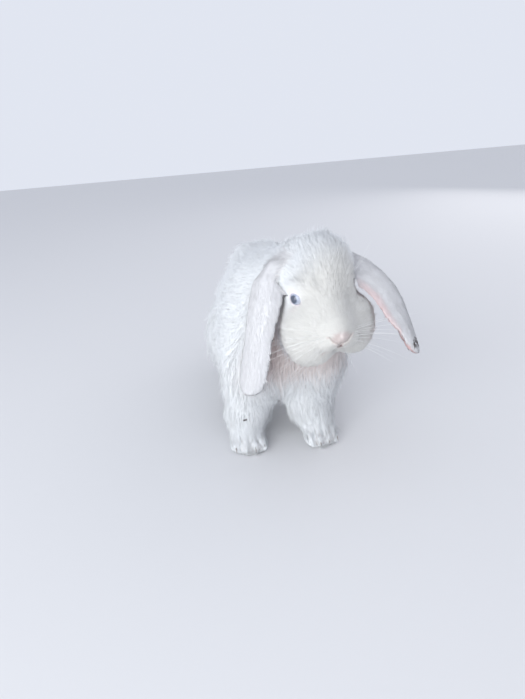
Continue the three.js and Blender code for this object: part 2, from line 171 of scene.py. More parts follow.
def along_route(points, route):
    """From the nearest place of a route: its direction, the share of it walked, and the way out."""
    route = np.array([tuple(p) for p in route])
    best, walked = np.full(len(points), 1.0), 0.0
    way, run, out = np.zeros((len(points), 3)), np.zeros(len(points)), np.zeros((len(points), 3))
    for a, b in zip(route, route[1:]):
        t = np.clip((points - a) @ (b - a) / ((b - a) @ (b - a)), 0, 1)
        off = points - a - t[:, None] * (b - a)
        nearer = np.linalg.norm(off, axis=1) < best
        best = np.where(nearer, np.linalg.norm(off, axis=1), best)
        way[nearer], out[nearer] = unit(b - a), off[nearer]
        run = np.where(nearer, walked + t * np.linalg.norm(b - a), run)
        walked += np.linalg.norm(b - a)
    return way, run / walked, out


def on_ear(points, name):
    """Along an ear: its direction, the share of it walked, the way out of its back, and how far across."""
    way, run, off_route = along_route(points, EAR_ROUTES[name])
    first, last = (np.array(face, float) for face in EAR_BACKS[name])
    out = unit(first + run[:, None] * (last - first))
    out = unit(out - way * np.sum(out * way, axis=1)[:, None])
    return way, run, out, np.sum(off_route * np.cross(out, way), axis=1)


corners, faces, node_of_face = [], [], []
for name in FLESH:
    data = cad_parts[name].data
    start = len(corners)
    corners += [vert.co.copy() for vert in data.vertices]
    faces += [[start + i for i in polygon.vertices] for polygon in data.polygons]
    node_of_face += [name] * len(data.polygons)
solids = BVHTree.FromPolygons(corners, faces)


def nearest_nodes(at):
    """For each place, the solid that it is nearest to, and which kind of part that is."""
    nearest = np.array([node_of_face[solids.find_nearest(Vector(p))[2]] for p in at])
    return nearest, np.array([name.split("_")[0] for name in nearest])


rough = bpy.data.objects.new("rough_skin", joined_copy(FLESH + EYES, 0.0003))
scene.collection.objects.link(rough)
remesh = rough.modifiers.new("one body", "REMESH")
remesh.mode = "VOXEL"
remesh.voxel_size = VOXEL
skin_data = bpy.data.meshes.new_from_object(rough.evaluated_get(bpy.context.evaluated_depsgraph_get()))
skin_data.name = "skin"
bpy.data.objects.remove(rough)

# The facets of the solids are smoothed away: little on the head, ears and feet, most on the trunk.
at = coordinates(skin_data)
pairs = edge_pairs(skin_data)
nearest, kind = nearest_nodes(at)
detailed = spread(np.isin(kind, ["head", "ear", "forefoot", "hindfoot"]).astype(float), pairs, 6)
at = spread(at, pairs, 30, hold=detailed * (0.84 + 0.11 * (kind == "ear")))
place(skin_data, at)
depth = spread(np.array([COAT_DEPTH[k] for k in kind]), pairs, 14)
to_nose = np.linalg.norm(into_head(at) - [0, -0.046, -0.024], axis=1)
near_eye = np.minimum(*[np.linalg.norm(at - np.array(EYE_AT[side]), axis=1) for side in SIDES])
face = (0.35 + 0.65 * ramp(to_nose, 0.012, 0.07)) * (0.22 + 0.78 * ramp(near_eye, 0.012, 0.024))
depth = np.where(kind == "head", depth * face, depth)
sole = ramp(-normals(skin_data)[:, 2], 0.3, 0.8) * (1 - ramp(at[:, 2], 0.004, 0.012))
depth = depth + sole * (SOLE_DEPTH - depth)
at = at - normals(skin_data) * depth[:, None]
for name, (rim, hang, (start, full, less, end)) in EAR_HANGS.items():
    way, run, out, across = on_ear(at, name)
    share = (nearest == name) * ramp(rim * across, 0.004, 0.018) * ramp(run, start, full)
    share = share * (1 - ramp(run, less, end))
    at = at + spread(share, pairs, 2)[:, None] * hang
place(skin_data, at)
fur_depth = skin_data.attributes.new("fur_depth", "FLOAT", "POINT")
fur_depth.data.foreach_set("value", depth)

# ---------------------------------------------------------------- lids, nose and mouth
# Thin pale lids close round each eyeball and meet in a point at its front corner.
# The nose is a soft Y: a slit up each side, and a groove that runs down to the split lip and the mouth.
GAZE = {"left": unit([0.93, -0.28, 0.22]), "right": unit([0.81, -0.54, 0.14])}
OPENING_WIDE, OPENING_HIGH = math.radians(53), math.radians(40)
CORNER_AT, CORNER_REACH = math.radians(-30), math.radians(6)
LID_RADIUS = EYE_RADIUS + 0.0008
FOLD_RADIUS = EYE_RADIUS + 0.0014
NOSTRILS = [([side * 0.0020, -0.0285], [side * 0.0062, -0.0262], [side * 0.0095, -0.0215])
            for side in SIDES.values()]
PHILTRUM = [[0, -0.0285], [0, -0.0375]]
MOUTH = [([0, -0.0375], [side * 0.0055, -0.0400], [side * 0.0120, -0.0430]) for side in SIDES.values()]
# How deep and how wide each of those lines is cut.
NOSTRIL_CUT, PHILTRUM_CUT, MOUTH_CUT = (0.0017, 0.0011), (0.0026, 0.0016), (0.0019, 0.0012)
SPLIT_DEPTH, SPLIT_WIDTH = 0.005, 0.0034
BROW_RISE = 0.0014
# A furrow down the forehead, a rise ahead of the left eye and a fuller jowl on the right.
FURROW = [[-0.0060, 0.0380], [-0.0072, 0.0280], [-0.0086, 0.0190]]
FURROW_DEPTH, FURROW_WIDTH = 0.0040, 0.0038
RIDGE_AT, RIDGE_RISE, RIDGE_REACH = [0.0225, -0.0110, 0.0020], 0.0036, 0.0075
JOWL_AT, JOWL_RISE, JOWL_REACH = [-0.0100, -0.0280, -0.0560], 0.0045, 0.0110


def eye_axes(side):
    """The way one eye looks, then towards the nose and up, square to that, as the part lies."""
    gaze = head_turn @ (GAZE[side] * [SIDES[side], 1, 1])
    above = head_turn @ np.array([0, 0, 1.0])
    up = unit(above - gaze * (above @ gaze))
    return gaze, np.cross(gaze, up) * SIDES[side], up


def eye_angles(points, side):
    """How far off the eye's gaze each point lies, which way round from the front corner, and how far out."""
    gaze, front, up = eye_axes(side)
    out = points - np.array(EYE_AT[side])
    far = np.linalg.norm(out, axis=1)
    return np.arccos(np.clip(out @ gaze / far, -1, 1)), np.arctan2(out @ up, out @ front), far


def eye_point(side, off, way, far):
    gaze, front, up = eye_axes(side)
    off, way, far = (np.asarray(v)[..., None] for v in (off, way, far))
    off_way = np.cos(way) * front + np.sin(way) * up
    return np.array(EYE_AT[side]) + far * (np.cos(off) * gaze + np.sin(off) * off_way)


def opening(way):
    """The lids' edge: an oval with a point at the front corner."""
    oval = 1 / np.hypot(np.cos(way) / OPENING_WIDE, np.sin(way) / OPENING_HIGH)
    return oval + CORNER_REACH * np.maximum(np.cos(way - CORNER_AT), 0) ** 14


def from_line(flat, line):
    """The distance of points on a plane from a line through a few places."""
    best = np.full(len(flat), 1.0)
    for a, b in zip(line, line[1:]):
        a, b = np.array(a), np.array(b)
        t = np.clip((flat - a) @ (b - a) / ((b - a) @ (b - a)), 0, 1)
        best = np.minimum(best, np.linalg.norm(flat - a - t[:, None] * (b - a), axis=1))
    return best


made = bmesh.new()
made.from_mesh(skin_data)
spots = [(EYE_AT["left"], 0.020), (EYE_AT["right"], 0.020), (on_head(0, -0.046, -0.031), 0.021)]
for longest in (0.0013, 0.00065):
    near = [edge for edge in made.edges if edge.calc_length() > longest
            and any((edge.verts[0].co - spot).length < reach for spot, reach in spots)]
    bmesh.ops.subdivide_edges(made, edges=near, cuts=1, use_grid_fill=True)
bmesh.ops.triangulate(made, faces=[face for face in made.faces if len(face.verts) > 4])
made.verts.index_update()
at = np.array([vert.co for vert in made.verts])
pairs = np.array([[edge.verts[0].index, edge.verts[1].index] for edge in made.edges])
close = np.zeros(len(at))
for spot, reach in spots:
    close = np.maximum(close, 1 - ramp(np.linalg.norm(at - np.array(spot), axis=1), reach, reach + 0.004))
at = spread(at, pairs, 16, hold=1 - close)

on_skull = nearest_nodes(at)[1] == "head"
for side in SIDES:
    off, way, far = eye_angles(at, side)
    beyond_edge = off - opening(way)
    close = 1 - ramp(far, 0.017, 0.024)
    filled = np.maximum(far, FOLD_RADIUS / np.cos(np.clip(beyond_edge, 0, math.radians(30))))
    radius = far + (1 - ramp(beyond_edge, math.radians(30), math.radians(54))) * close * (filled - far)
    lid = LID_RADIUS + (FOLD_RADIUS - LID_RADIUS) * ramp(beyond_edge, 0, math.radians(6))
    radius += (1 - ramp(beyond_edge, math.radians(5), math.radians(26))) * close * (lid - radius)
    brow = np.exp(-((beyond_edge - math.radians(30)) / math.radians(11)) ** 2) * ramp(np.sin(way), 0.1, 0.7)
    radius = np.maximum(radius + BROW_RISE * brow, EYE_RADIUS + 0.0007)
    at = np.where(((far < 0.024) & on_skull)[:, None], eye_point(side, off, way, radius), at)

in_head = into_head(at)
facing = np.array([vert.normal for vert in made.verts]) @ head_turn
flat = in_head[:, [0, 2]]
frontal = ramp(-facing[:, 1], 0.05, 0.4) * (in_head[:, 1] < -0.025) * (np.abs(in_head[:, 0]) < 0.03)
groove = np.zeros(len(at))
cuts = [(line, *NOSTRIL_CUT) for line in NOSTRILS] + [(PHILTRUM, *PHILTRUM_CUT)]
cuts += [(line, *MOUTH_CUT) for line in MOUTH]
for line, deep, wide in cuts:
    groove = np.maximum(groove, deep * np.exp(-(from_line(flat, line) / wide) ** 2))
split = SPLIT_DEPTH * np.exp(-(flat[:, 0] / SPLIT_WIDTH) ** 2) * ramp(-flat[:, 1], 0.0300, 0.0370)
groove = np.maximum(groove, split * (1 - ramp(-flat[:, 1], 0.042, 0.050)))
at = at + (groove * frontal)[:, None] * (head_turn @ unit([0, 1, 0.15]))
furrow = FURROW_DEPTH * np.exp(-(from_line(flat, FURROW) / FURROW_WIDTH) ** 2)
furrow = furrow * (in_head[:, 1] < 0.01) * ramp(-facing[:, 1], -0.3, 0.3)
at = at + (furrow * on_skull)[:, None] * (head_turn @ unit([0, 1, -0.4]))
off, way, far = eye_angles(at, "left")
ridge = RIDGE_RISE * np.exp(-(np.linalg.norm(in_head - RIDGE_AT, axis=1) / RIDGE_REACH) ** 2)
ridge *= ramp(off - opening(way), math.radians(6), math.radians(16))
at = at + (ridge * on_skull)[:, None] * (head_turn @ unit([1, -0.2, 0.1]))
jowl = JOWL_RISE * np.exp(-(np.linalg.norm(in_head - JOWL_AT, axis=1) / JOWL_REACH) ** 2)
at = at + (jowl * on_skull)[:, None] * (head_turn @ unit([0.5, -0.5, -0.7]))
for vert, p in zip(made.verts, at):
    vert.co = p

for side in SIDES:
    made.verts.index_update()
    off, way, far = eye_angles(np.array([vert.co for vert in made.verts]), side)
    inside = (off < opening(way)) & (far < 0.014)
    bmesh.ops.delete(made, geom=[vert for vert, out in zip(made.verts[:], inside) if out], context="VERTS")
    rim = [edge for edge in made.edges
           if edge.is_boundary and (edge.verts[0].co - EYE_AT[side]).length < 0.014]
    for vert in {vert for edge in rim for vert in edge.verts}:
        off, way, far = eye_angles(np.array([vert.co]), side)
        vert.co = eye_point(side, opening(way), way, [LID_RADIUS])[0]
    for further, radius in ((1.2, EYE_RADIUS + 0.00035), (1.6, EYE_RADIUS - 0.0005)):
        grown = bmesh.ops.extrude_edge_only(made, edges=rim)["geom"]
        for vert in [item for item in grown if isinstance(item, bmesh.types.BMVert)]:
            off, way, far = eye_angles(np.array([vert.co]), side)
            vert.co = eye_point(side, opening(way) - math.radians(further), way, [radius])[0]
        rim = [item for item in grown if isinstance(item, bmesh.types.BMEdge)]
bmesh.ops.recalc_face_normals(made, faces=made.faces)
for face in made.faces:
    face.smooth = True
made.to_mesh(skin_data)
made.free()

# ---------------------------------------------------------------- toes
# Four rounded toes on each foot, drawn together towards the ball of the foot.
# Between each and the next a crease runs back over the foot.
CREASE_DEPTH, CREASE_WIDTH = 0.0026, 0.0017
at = coordinates(skin_data)
toe_crease = np.zeros(len(at))
for foot in ("foreclaw_", "hindclaw_"):
    for side in SIDES:
        claws = [np.array(middle_of(foot + side + "_%d" % n)) for n in (1, 2, 3, 4)]
        ball_x = sum(claws)[0] / 4
        for one, next_one in zip(claws, claws[1:]):
            between = (one + next_one) / 2
            behind = at[:, 1] - between[1]
            line_x = between[0] + (ball_x - between[0]) * 0.3 * ramp(behind, 0, 0.022)
            here = np.exp(-((at[:, 0] - line_x) / CREASE_WIDTH) ** 2) * (1 - ramp(behind, 0.008, 0.019))
            toe_crease = np.maximum(toe_crease, here * (behind > -0.006) * (1 - ramp(at[:, 2], 0.022, 0.032)))
toe_crease *= ramp(normals(skin_data)[:, 2], -0.5, 0.1)
place(skin_data, at - normals(skin_data) * (CREASE_DEPTH * toe_crease)[:, None])

# ---------------------------------------------------------------- eyes
# Each eye is a wet ball with the clear front bulging a little over a pale blue iris and a round dark pupil.
# Fine fibres run out through the iris, and its rim is darker.
PUPIL, IRIS_RIM = 0.46, 1.02
BULGE = 0.0006


def blue_eye():
    """Colour by how far each point lies off the gaze, with fibres that run outwards."""
    material = bpy.data.materials.new("blue eye")
    material.use_nodes = True
    nodes, links = material.node_tree.nodes, material.node_tree.links
    shader = nodes["Principled BSDF"]
    off = nodes.new("ShaderNodeAttribute")
    off.attribute_name = "off_gaze"
    fibre = nodes.new("ShaderNodeAttribute")
    fibre.attribute_name = "fibre"
    noise = nodes.new("ShaderNodeTexNoise")
    noise.inputs["Scale"].default_value = 9
    noise.inputs["Detail"].default_value = 3
    links.new(fibre.outputs["Vector"], noise.inputs["Vector"])
    rings = nodes.new("ShaderNodeValToRGB")
    # The pupil is painted slate grey rather than black: painted reflection over it.
    stops = [(PUPIL - 0.06, (0.070, 0.085, 0.125, 1)), (PUPIL + 0.03, (0.24, 0.28, 0.38, 1)),
             (0.60, (0.46, 0.50, 0.62, 1)), (0.88, (0.56, 0.59, 0.70, 1)), (IRIS_RIM, (0.22, 0.24, 0.33, 1)),
             (1.16, (0.82, 0.80, 0.80, 1))]
    spare = rings.color_ramp.elements[1]
    rings.color_ramp.elements.remove(spare)
    for place_at, colour in stops:
        stop = rings.color_ramp.elements.new(place_at / 1.2)
        stop.color = colour
    rings.color_ramp.elements.remove(rings.color_ramp.elements[0])
    scaled = nodes.new("ShaderNodeMath")
    scaled.operation = "DIVIDE"
    scaled.inputs[1].default_value = 1.2
    links.new(off.outputs["Fac"], scaled.inputs[0])
    links.new(scaled.outputs[0], rings.inputs["Fac"])
    streak = nodes.new("ShaderNodeMapRange")
    streak.inputs["From Min"].default_value = 0.35
    streak.inputs["From Max"].default_value = 0.65
    streak.inputs["To Min"].default_value = 0.72
    streak.inputs["To Max"].default_value = 1.12
    links.new(noise.outputs["Fac"], streak.inputs["Value"])
    shade = nodes.new("ShaderNodeMix")
    shade.data_type = "RGBA"
    shade.blend_type = "MULTIPLY"
    shade.inputs["Factor"].default_value = 1
    links.new(rings.outputs["Color"], shade.inputs[6])
    links.new(streak.outputs["Result"], shade.inputs[7])
    links.new(shade.outputs[2], shader.inputs["Base Color"])
    shader.inputs["Roughness"].default_value = 0.08
    shader.inputs["Coat Weight"].default_value = 1.0
    shader.inputs["Coat Roughness"].default_value = 0.02
    return material


eye_material = blue_eye()
for side in SIDES:
    gaze, front, up = eye_axes(side)
    ball = bmesh.new()
    bmesh.ops.create_uvsphere(ball, u_segments=72, v_segments=56, radius=EYE_RADIUS)
    turn = Matrix((Vector(up).cross(Vector(gaze)), up, gaze)).transposed()
    for vert in ball.verts:
        vert.co.z += BULGE * max(vert.co.z / EYE_RADIUS - 0.55, 0) / 0.45
    bmesh.ops.transform(ball, matrix=Matrix.Translation(EYE_AT[side]) @ turn.to_4x4(), verts=ball.verts)
    for face in ball.faces:
        face.smooth = True
    data = bpy.data.meshes.new("eyeball_" + side)
    ball.to_mesh(data)
    ball.free()
    off, way, far = eye_angles(coordinates(data), side)
    data.attributes.new("off_gaze", "FLOAT", "POINT").data.foreach_set("value", off)
    fibres = np.stack([np.cos(way), np.sin(way), off * 0.15], axis=1)
    data.attributes.new("fibre", "FLOAT_VECTOR", "POINT").data.foreach_set("vector", fibres.ravel())
    data.materials.append(eye_material)
    eye = bpy.data.objects.new("eyeball_" + side, data)
    scene.collection.objects.link(eye)
    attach(eye, "root")
    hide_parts("eye_" + side)

# ---------------------------------------------------------------- coat
# Dense soft white fur, short on the face, ears and feet and longest on the chest and flanks.
# It lies back from the nose over the head and body to the tail, down the legs and out along the ears.
FRINGE_WAY = (0.75, -0.35, 0)
LIES = {"foreleg": (0, -0.05, -1), "forefoot": (0, -0.9, -0.45), "thigh": (0, 0.35, -0.9),
        "hindfoot": (0, -0.9, -0.25), "tail": (0, 0.3, 1)}
LENGTH = {"head": 0.0095, "neck": 0.018, "trunk": 0.024, "tail": 0.022, "foreleg": 0.016, "thigh": 0.022,
          "forefoot": 0.0090, "hindfoot": 0.0095, "ear": 0.0050}
WIDTH = {"head": 0.00050, "neck": 0.00058, "trunk": 0.00060, "tail": 0.00066, "foreleg": 0.00062,
         "thigh": 0.00062, "forefoot": 0.00060, "hindfoot": 0.00062, "ear": 0.00044}
RAGGED = {"head": 0.13, "neck": 0.08, "trunk": 0.07, "tail": 0.16, "foreleg": 0.16, "thigh": 0.10,
          "forefoot": 0.16, "hindfoot": 0.2, "ear": 0.14}
COUNT = {"head": 27000, "neck": 12500, "trunk": 41000, "tail": 3500, "foreleg": 14500, "thigh": 9000,
         "forefoot": 8500, "hindfoot": 5500, "ear": 14500}
PIECE_TUFTS = 19500
STRAY_SHARE = 0.085
ROOT_SINK = 0.0006
CLAW_FUR_TIP, CLAW_FUR_MIDDLE = [0, -0.0035, 0.0002], [0, -0.0018, 0]
TIP_LOWEST, MIDDLE_LOWEST = 0.0006, 0.0008

# The body's white is tinted blue: painted cool window light on a plain white coat.
WHITE_IN_COOL_LIGHT = np.array([0.940, 0.962, 0.982])
# The face is painted cream and a little darker than the body: painted warm light and shade.
FACE_CREAM_IN_WARM_LIGHT = np.array([0.850, 0.840, 0.808])
# A warm pinkish grey under the chin: painted shade and painted reflected warm light.
THROAT_PAINTED_SHADE = np.array([0.930, 0.825, 0.790])
# The ears' coat is painted grey, darker than the body's white: painted shade on the same white fur.
EAR_PAINTED_SHADE = np.array([0.770, 0.768, 0.785])
EAR_PINK = np.array([0.80, 0.56, 0.55])
NOSE_PINK = np.array([0.76, 0.675, 0.650])
# Darker along the nose's slits, the groove to the lip, the mouth and between the toes: painted shade in these
# grooves.
CREASE_PAINTED_SHADE = np.array([0.78, 0.70, 0.67])
# Dark in the split lip below the nose: painted shade in the hollow of the lip and mouth.
SPLIT_LIP_SHADE = np.array([0.26, 0.14, 0.13])
LID_PALE = np.array([0.86, 0.81, 0.84])
# A thin darker line round the inside of the lids: painted shade where they meet the eye.
LID_CONTACT_SHADE = np.array([0.50, 0.45, 0.50])
# A dark spot in each eye's front corner: painted shade in the pocket where the lids meet.
EYE_CORNER_SHADE = np.array([0.30, 0.25, 0.27])
DARK_TUFT_TONE = np.array([0.060, 0.045, 0.040])
# A dark mark at the outer edge of the left ear's tip, and a small one of a few hairs on the right wrist.
EAR_MARK_RUN, EAR_MARK_X, EAR_MARK_Z, EAR_MARK_HALF = 0.87, 0.0872, 0.125, 0.006
SPECK_AT, SPECK_HALF, SPECK_HAIRS = (-0.0730, -0.1020, 0.0327), 0.0019, 14


def blend(colours, share, colour):
    return colours + share[:, None] * (colour - colours)


skin = bpy.data.objects.new("skin", skin_data)
scene.collection.objects.link(skin)
bpy.context.view_layer.objects.active = skin
skin.select_set(True)
bpy.ops.object.mode_set(mode="EDIT")
bpy.ops.mesh.select_all(action="SELECT")
bpy.ops.uv.smart_project(angle_limit=math.radians(66), island_margin=0.002)
bpy.ops.object.mode_set(mode="OBJECT")

at = coordinates(skin_data)
pairs = edge_pairs(skin_data)
normal = normals(skin_data)
nearest, kind = nearest_nodes(at)
depth = np.empty(len(at))
skin_data.attributes["fur_depth"].data.foreach_get("value", depth)
in_head = into_head(at)
flat = in_head[:, [0, 2]]
to_nose = np.linalg.norm(in_head - [0, -0.050, -0.024], axis=1)
near_eye = np.minimum(*[np.linalg.norm(at - np.array(EYE_AT[side]), axis=1) for side in SIDES])
is_head = spread((kind == "head").astype(float), pairs, 20)
crown = is_head * ramp(in_head[:, 2], 0.020, 0.038)
chest = ramp(-at[:, 1], 0.050, 0.080) * (1 - ramp(at[:, 2], 0.155, 0.180))
chest = chest * (kind != "head") * (kind != "ear")

# The lie of the coat, and on the ears how much of the hollow side is seen.
lie = np.tile([0, 1.0, -0.30], (len(at), 1))
lie = lie + chest[:, None] * (np.array([0, 0.15, -1.0]) - lie)
away = unit(in_head - [0, -0.062, -0.020]) @ head_turn.T
lie = lie + is_head[:, None] * (unit(away + [0, 0.35, 0]) - lie)
for name, way in LIES.items():
    share = spread((kind == name).astype(float), pairs, 12)[:, None]
    lie = lie + share * (unit(way) - lie)
ear_inside, ear_run, ear_rim, ear_across = (np.zeros(len(at)) for _ in range(4))
for name in EARS:
    way, run, out, across = on_ear(at, name)
    share = spread((nearest == name).astype(float), pairs, 5)
    lie = lie + share[:, None] * (way - lie)
    mine = nearest == name
    ear_run[mine] = run[mine]
    ear_across[mine] = across[mine]
    backward = np.sum(normal * out, axis=1)
    ear_rim[mine] = (ramp(1 - np.abs(backward), 0.45, 0.9) * ramp(run, 0.15, 0.35))[mine]
    ear_inside[mine] = (ramp(-backward, 0.05, 0.45) * ramp(run, 0.25, 0.4))[mine]
ear_inside = spread(ear_inside, pairs, 2)
fringe = (nearest == "ear_right") * ramp(ear_across, 0.0095, 0.0140) * ramp(ear_run, 0.05, 0.2)
fringe = spread(fringe, pairs, 2)
lie = lie + fringe[:, None] * np.array(FRINGE_WAY)
near_claw = np.full(len(at), 1.0)
for name in CLAWS:
    near_claw = np.minimum(near_claw, np.linalg.norm(at - np.array(middle_of(name)), axis=1))
swirl = spread(rng.normal(0, 1, (len(at), 3)), pairs, 60)
swirl *= 0.075 / swirl.std()
lie = unit(lie) + swirl * (0.3 + 0.7 * ramp(depth, 0.002, 0.006) + 3.5 * crown)[:, None]
lie = unit(lie - normal * np.sum(lie * normal, axis=1)[:, None])
lie = spread(lie, pairs, 12)
lie = unit(lie - normal * np.sum(lie * normal, axis=1)[:, None])
fluff = spread(rng.normal(0, 1, len(at)), pairs, 60)
fluff = 1 + (0.09 + 0.22 * crown) * fluff / fluff.std() + 0.25 * crown + 0.15 * chest
fluff *= 0.45 + 0.55 * ramp(near_eye, 0.0095, 0.0150)

length = spread(np.array([LENGTH[k] for k in kind]), pairs, 12)
width = spread(np.array([WIDTH[k] for k in kind]), pairs, 12)
length = np.where(kind == "head", length * (0.34 + 0.66 * ramp(to_nose, 0.010, 0.060)), length)
width = np.where(kind == "head", width * (0.62 + 0.38 * ramp(to_nose, 0.010, 0.060)), width)
length *= 1 + 0.6 * ear_rim + 0.1 * fringe
length *= (0.26 + 0.74 * ramp(near_eye, 0.0095, 0.020)) * (1 + 0.35 * chest + 0.45 * crown)
width *= 0.62 + 0.38 * ramp(near_eye, 0.0095, 0.020)

# The colours, which the skin and the coat share.
tone = np.tile(WHITE_IN_COOL_LIGHT, (len(at), 1))
# Painted warm light and shade: the front of the head is blended to cream.
tone = blend(tone, is_head * ramp(-in_head[:, 1], -0.02, 0.02), FACE_CREAM_IN_WARM_LIGHT)
# Painted shade and reflected warm light on the front of the neck and chest under the chin.
painted_throat_shade = (1 - is_head) * ramp(-normal[:, 1], 0.25, 0.8)
painted_throat_shade = painted_throat_shade * ramp(-at[:, 1], 0.070, 0.095) * ramp(at[:, 2], 0.075, 0.115)
tone = blend(tone, painted_throat_shade, THROAT_PAINTED_SHADE)
# Painted shade: the ears, and the right ear's fringe below, take the darker grey.
tone = blend(tone, (kind == "ear").astype(float), EAR_PAINTED_SHADE)
tone = blend(tone, ear_inside, EAR_PINK)
tone = blend(tone, fringe, EAR_PAINTED_SHADE)
lower_rim = (nearest == "ear_left") * ramp(-ear_across, 0.0180, 0.0215) * ramp(ear_run, 0.25, 0.4)
tone = blend(tone, 0.5 * lower_rim * (1 - ramp(ear_run, 0.80, 0.88)), EAR_PINK)
nose = np.linalg.norm((in_head - [0, -0.052, -0.0235]) / [0.0085, 0.010, 0.0065], axis=1)
tone = blend(tone, (1 - ramp(nose, 0.65, 1.25)) * (kind == "head"), NOSE_PINK)
# Painted shade: darker along the cut slits of the nose, the groove down to the lip and the mouth.
lines = np.min([from_line(flat, line) for line in NOSTRILS + [PHILTRUM] + MOUTH], axis=0)
fore_face = (in_head[:, 1] < -0.030) & (kind == "head")
tone = blend(tone, (1 - ramp(lines, 0.0004, 0.0014)) * fore_face, CREASE_PAINTED_SHADE)
# Painted shade in the hollow of the split lip and the mouth below the nose.
from_shaded_notch = from_line(flat, [[0, -0.0318], [0, -0.0385]])
tone = blend(tone, (1 - ramp(from_shaded_notch, 0.0020, 0.0036)) * fore_face, SPLIT_LIP_SHADE)
lid_edge, lid_contact_shade, tear, corner = (np.zeros(len(at)) for _ in range(4))
for side in SIDES:
    off, way, far = eye_angles(at, side)
    beyond_edge = off - opening(way)
    lid_edge = np.maximum(lid_edge, (1 - ramp(beyond_edge, 0.02, 0.09)) * (far < 0.0125))
    # Painted shade along the lids' inner edge, where they meet the eyeball.
    lid_contact_shade = np.maximum(lid_contact_shade, (1 - ramp(beyond_edge, -0.016, 0.010)) * (far < 0.0125))
    under = np.hypot(way - math.radians(-55), (beyond_edge - 0.2) * 1.6)
    tear = np.maximum(tear, 0.35 * (1 - ramp(under, 0.2, 0.8)) * (far < 0.018) * (beyond_edge > 0))
    # Painted shade in the pocket at the front corner of the eye.
    tip_at = eye_point(side, opening(CORNER_AT), CORNER_AT, LID_RADIUS)
    corner = np.maximum(corner, 1 - ramp(np.linalg.norm(at - tip_at, axis=1), 0.0005, 0.0013))
tone = blend(tone, tear, NOSE_PINK)
tone = blend(tone, lid_edge, LID_PALE)
tone = blend(tone, lid_contact_shade, LID_CONTACT_SHADE)
tone = blend(tone, corner, EYE_CORNER_SHADE)
# Painted shade in the creases between the toes.
tone = blend(tone, 0.55 * toe_crease, CREASE_PAINTED_SHADE)
skin_tone = blend(tone, np.full(len(at), 0.10) * (kind != "ear"), NOSE_PINK)


def ready(data, colours):
    """Stores the colours on a mesh, for its material to read."""
    four = np.concatenate([np.clip(colours, 0, 1), np.ones((len(colours), 1))], axis=1)
    data.color_attributes.new("tone", "FLOAT_COLOR", "POINT").data.foreach_set("color", four.ravel())


def white_fur(name, roughness, bumped):
    material = bpy.data.materials.new(name)
    material.use_nodes = True
    nodes, links = material.node_tree.nodes, material.node_tree.links
    shader = nodes["Principled BSDF"]
    reader = nodes.new("ShaderNodeAttribute")
    reader.attribute_name = "tone"
    links.new(reader.outputs["Color"], shader.inputs["Base Color"])
    shader.inputs["Roughness"].default_value = roughness
    shader.inputs["Specular IOR Level"].default_value = 0.25
    if bumped:
        where = nodes.new("ShaderNodeTexCoord")
        noise = nodes.new("ShaderNodeTexNoise")
        noise.inputs["Scale"].default_value = 900
        bump = nodes.new("ShaderNodeBump")
        bump.inputs["Strength"].default_value = 0.35
        bump.inputs["Distance"].default_value = 0.0004
        links.new(where.outputs["Object"], noise.inputs["Vector"])
        links.new(noise.outputs["Fac"], bump.inputs["Height"])
        links.new(bump.outputs["Normal"], shader.inputs["Normal"])
    return material


ready(skin_data, skin_tone)
skin_data.materials.append(white_fur("skin", 0.7, True))
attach(skin, "root")
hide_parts(*FLESH)

# Where the tufts stand: evenly over the skin, each kind of part with its own share.
skin_data.calc_loop_triangles()
triangles = np.empty(len(skin_data.loop_triangles) * 3, int)
skin_data.loop_triangles.foreach_get("vertices", triangles)
triangles = triangles.reshape(-1, 3)
loops = np.empty(triangles.size, int)
skin_data.loop_triangles.foreach_get("loops", loops)
uv = np.empty(len(skin_data.loops) * 2)
skin_data.uv_layers.active.data.foreach_get("uv", uv)
uv_of_triangle = uv.reshape(-1, 2)[loops].reshape(-1, 3, 2)
a, b, c = (at[triangles[:, i]] for i in range(3))
area = np.linalg.norm(np.cross(b - a, c - a), axis=1) / 2
density = np.zeros(len(triangles))
for name, count in COUNT.items():
    mine = kind[triangles[:, 0]] == name
    density[mine] = count / area[mine].sum() / 1
crowd = 1 + 1.6 * (kind == "head") * (1 - ramp(to_nose, 0.012, 0.045))
crowd = crowd + 1.6 * (1 - ramp(near_eye, 0.010, 0.018))
crowd *= 1 - 0.72 * ear_inside
open_skin = np.maximum(lid_edge, corner)[triangles].max(axis=1) < 0.7
share = np.cumsum(area * density * crowd[triangles].mean(axis=1) * open_skin)
total = int(share[-1])
picked = np.searchsorted(share, (np.arange(total) + rng.random(total)) * share[-1] / total)
picked = np.minimum(picked, len(triangles) - 1)
u, v = rng.random(total), rng.random(total)
u, v = np.where(u + v > 1, 1 - u, u), np.where(u + v > 1, 1 - v, v)
root_weights = np.stack([1 - u - v, u, v], axis=1)
root_corners = triangles[picked]
tree = BVHTree.FromPolygons([Vector(p) for p in at], triangles.tolist())


def mixed(values, corners, weights):
    return np.einsum("ij,ij...->i...", weights, values[corners])


def settle(points):
    """The nearest places on the skin, with the corners round each and their shares."""
    hits = [tree.find_nearest(Vector(p)) for p in points]
    spot = np.array([hit[0] for hit in hits])
    corners = triangles[[hit[2] for hit in hits]]
    a, b, c = (at[corners[:, i]] for i in range(3))
    e, f, g = b - a, c - a, spot - a
    ee, ef, ff, ge, gf = (np.sum(p * q, axis=1) for p, q in ((e, e), (e, f), (f, f), (g, e), (g, f)))
    whole = np.maximum(ee * ff - ef * ef, 1e-20)
    second = np.clip((ff * ge - ef * gf) / whole, 0, 1)
    third = np.clip((ee * gf - ef * ge) / whole, 0, 1)
    return spot, corners, np.stack([1 - second - third, second, third], axis=1)


def turned(vectors, axis, angle):
    return vectors * np.cos(angle)[:, None] + np.cross(axis, vectors) * np.sin(angle)[:, None]


def at_roots(values):
    return mixed(values, root_corners, root_weights)


